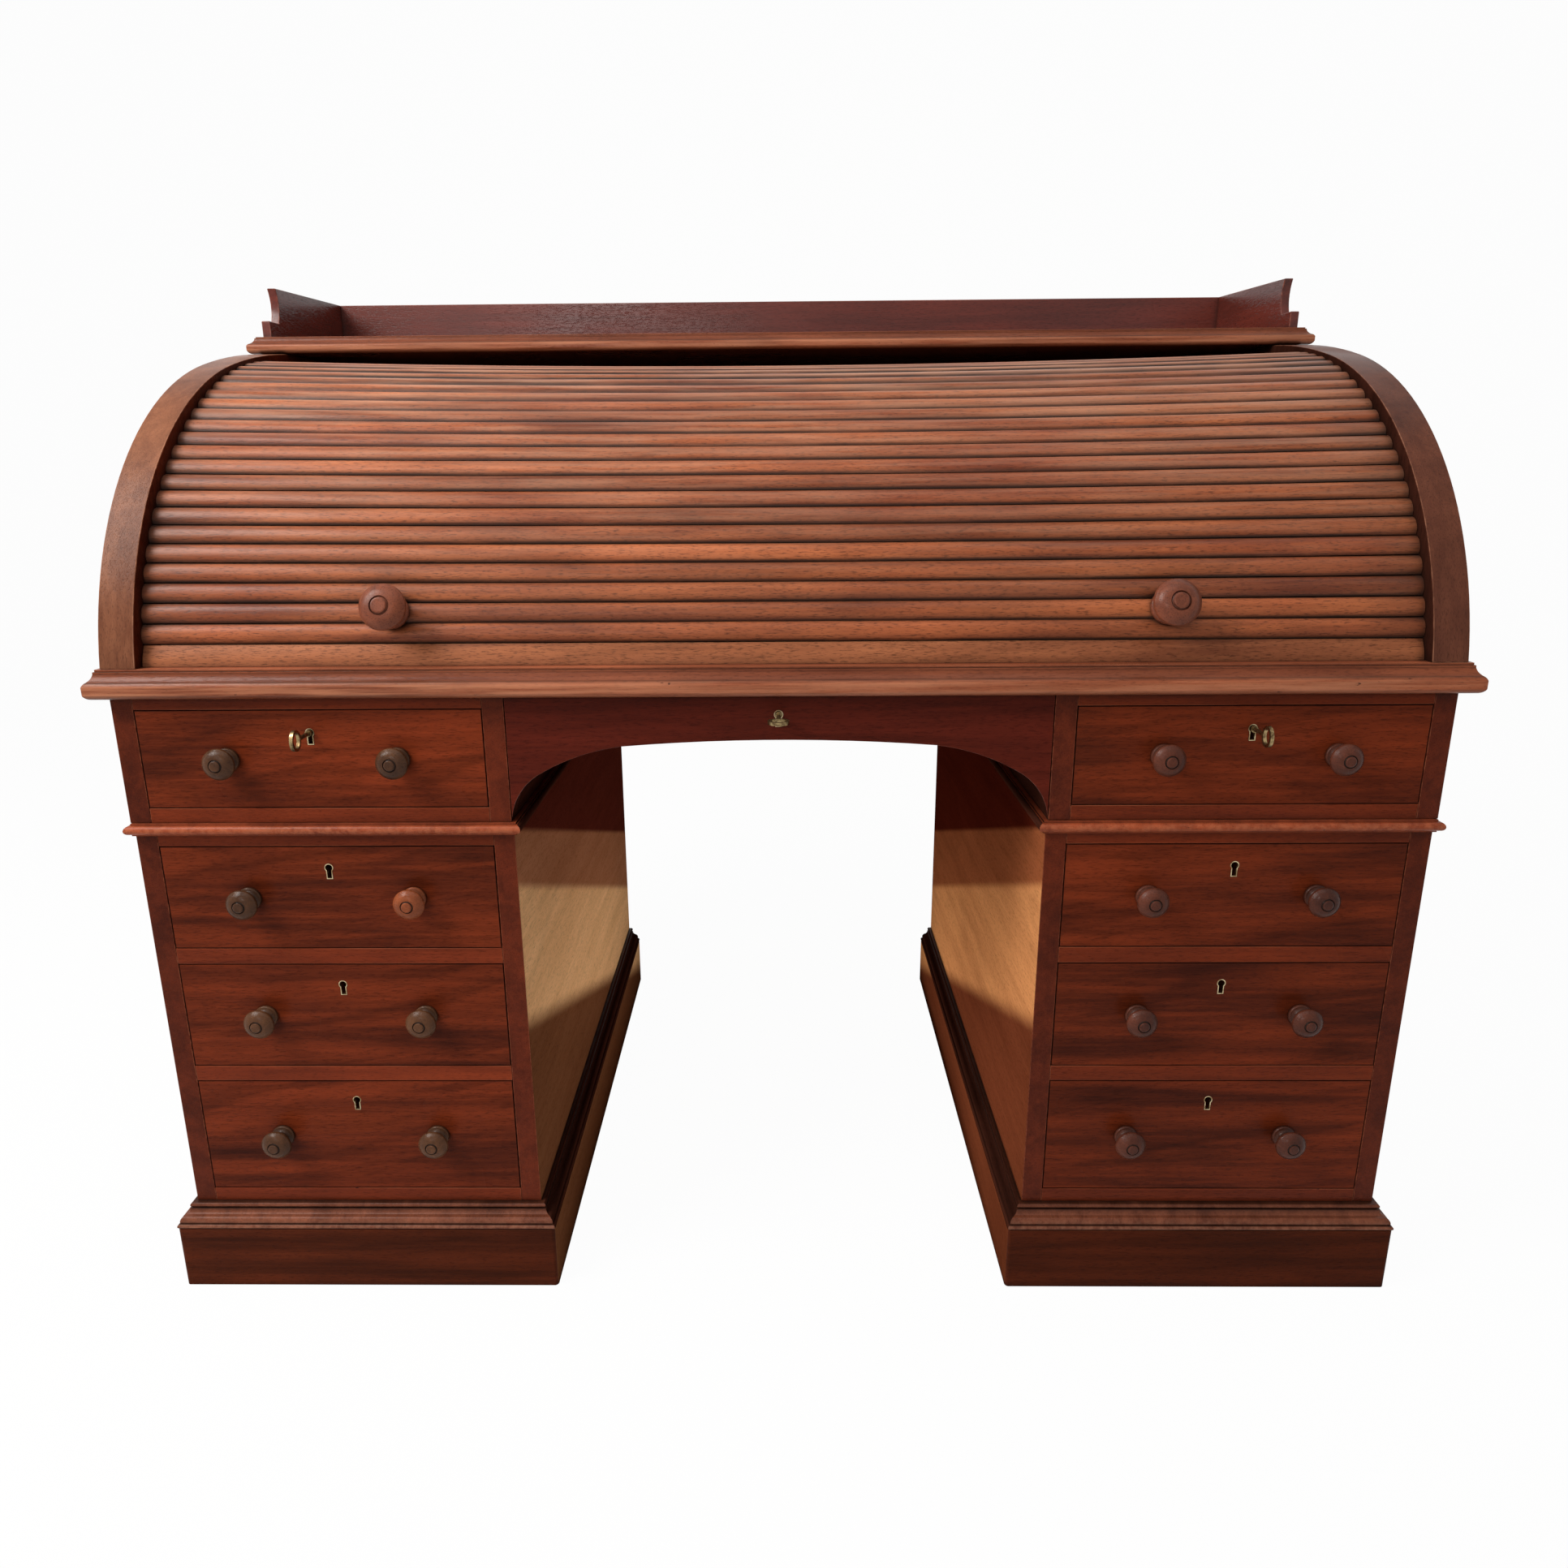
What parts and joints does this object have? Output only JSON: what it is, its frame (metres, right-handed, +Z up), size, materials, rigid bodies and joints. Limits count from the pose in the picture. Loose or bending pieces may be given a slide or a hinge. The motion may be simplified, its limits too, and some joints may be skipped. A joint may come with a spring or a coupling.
{
  "type": "tambour cylinder desk",
  "caption": "Mahogany twin-pedestal desk with a slatted roll front over the writing surface, flush drawers, an arched kneehole, turned knobs and a three-sided gallery.",
  "frame": {"origin": "on the floor, under the middle of the desk's box, keys and knobs included", "axes": "+X to the right seen from the front, +Y to the back, +Z up; the drawers open towards -Y"},
  "size_m": [1.486, 0.839, 1.2394],
  "materials": {
    "case_mahogany": "French polished mahogany",
    "moulding_mahogany": "French polished mahogany, lighter on the worn edges",
    "plinth_mahogany": "dark polished mahogany",
    "lining_oak": "plain waxed drawer lining",
    "flame_mahogany": "French polished flame mahogany",
    "knob_mahogany": "turned and polished",
    "slat_mahogany": "worn polish",
    "roll_knob_mahogany": "turned and polished",
    "brass": "aged brass",
    "desk_leather": "tooled writing leather",
    "canvas": "plain weave"
  },
  "bodies": {
    "case": {"plinth_boards": "plinth_mahogany", "plinth_mouldings": "moulding_mahogany", "pedestal_sides": "case_mahogany", "pedestal_tops": "moulding_mahogany", "table_sides": "case_mahogany", "drawer_rails": "case_mahogany", "carcass_bottoms": "lining_oak", "carcass_backs": "lining_oak", "drawer_runners": "lining_oak", "kneehole_apron": "case_mahogany", "apron_lock": "brass", "desk_top": "moulding_mahogany", "writing_leather": "desk_leather", "left_cheek": "case_mahogany", "right_cheek": "case_mahogany", "top_board": "moulding_mahogany", "gallery": "case_mahogany", "back_panel": "case_mahogany", "pigeonhole_nest": "lining_oak"},
    "tambour": {"tambour_slats": "slat_mahogany", "tambour_bottom_rail": "slat_mahogany", "tambour_canvas": "canvas", "tambour_knobs": "roll_knob_mahogany"},
    "left_frieze_drawer": {"left_frieze_front": "flame_mahogany", "left_frieze_box": "lining_oak", "left_frieze_knobs": "knob_mahogany", "left_frieze_lock": "brass"},
    "left_key": {"left_key": "brass"},
    "left_top_drawer": {"left_top_front": "flame_mahogany", "left_top_box": "lining_oak", "left_top_knobs": "knob_mahogany", "left_top_lock": "brass"},
    "left_middle_drawer": {"left_middle_front": "flame_mahogany", "left_middle_box": "lining_oak", "left_middle_knobs": "knob_mahogany", "left_middle_lock": "brass"},
    "left_bottom_drawer": {"left_bottom_front": "flame_mahogany", "left_bottom_box": "lining_oak", "left_bottom_knobs": "knob_mahogany", "left_bottom_lock": "brass"},
    "right_frieze_drawer": {"right_frieze_front": "flame_mahogany", "right_frieze_box": "lining_oak", "right_frieze_knobs": "knob_mahogany", "right_frieze_lock": "brass"},
    "right_key": {"right_key": "brass"},
    "right_top_drawer": {"right_top_front": "flame_mahogany", "right_top_box": "lining_oak", "right_top_knobs": "knob_mahogany", "right_top_lock": "brass"},
    "right_middle_drawer": {"right_middle_front": "flame_mahogany", "right_middle_box": "lining_oak", "right_middle_knobs": "knob_mahogany", "right_middle_lock": "brass"},
    "right_bottom_drawer": {"right_bottom_front": "flame_mahogany", "right_bottom_box": "lining_oak", "right_bottom_knobs": "knob_mahogany", "right_bottom_lock": "brass"},
    "apron_key": {"apron_key": "brass"},
    "apron_lock_bolt": {"apron_lock_bolt": "brass"}
  },
  "joints": [
    {"name": "tambour_roll", "type": "hinge", "parent": "case", "child": "tambour", "pos_m": [0, 0.027, 0.7129], "axis": [-1, 0, 0], "range_deg": [0, 62]},
    {"name": "left_frieze_slide", "type": "slide", "parent": "case", "child": "left_frieze_drawer", "axis": [0, -1, 0], "range_m": [0, 0.45]},
    {"name": "left_key_turn", "type": "hinge", "parent": "left_frieze_drawer", "child": "left_key", "pos_m": [-0.51085, -0.3735, 0.703], "axis": [0, 1, 0], "range_deg": [0, 90]},
    {"name": "left_top_slide", "type": "slide", "parent": "case", "child": "left_top_drawer", "axis": [0, -1, 0], "range_m": [0, 0.45]},
    {"name": "left_middle_slide", "type": "slide", "parent": "case", "child": "left_middle_drawer", "axis": [0, -1, 0], "range_m": [0, 0.45]},
    {"name": "left_bottom_slide", "type": "slide", "parent": "case", "child": "left_bottom_drawer", "axis": [0, -1, 0], "range_m": [0, 0.45]},
    {"name": "right_frieze_slide", "type": "slide", "parent": "case", "child": "right_frieze_drawer", "axis": [0, -1, 0], "range_m": [0, 0.45]},
    {"name": "right_key_turn", "type": "hinge", "parent": "right_frieze_drawer", "child": "right_key", "pos_m": [0.51085, -0.3735, 0.703], "axis": [0, 1, 0], "range_deg": [0, 90]},
    {"name": "right_top_slide", "type": "slide", "parent": "case", "child": "right_top_drawer", "axis": [0, -1, 0], "range_m": [0, 0.45]},
    {"name": "right_middle_slide", "type": "slide", "parent": "case", "child": "right_middle_drawer", "axis": [0, -1, 0], "range_m": [0, 0.45]},
    {"name": "right_bottom_slide", "type": "slide", "parent": "case", "child": "right_bottom_drawer", "axis": [0, -1, 0], "range_m": [0, 0.45]},
    {"name": "apron_key_turn", "type": "hinge", "parent": "case", "child": "apron_key", "pos_m": [0, -0.3735, 0.7209], "axis": [0, 1, 0], "range_deg": [0, 90]},
    {"name": "apron_bolt_slide", "type": "slide", "parent": "case", "child": "apron_lock_bolt", "axis": [0, 0, 1], "range_m": [0, 0.0081]}
  ],
  "couplings": [
    {"joint": "apron_bolt_slide", "follows": "apron_key_turn", "m_per_rad": 0.005093}
  ]
}
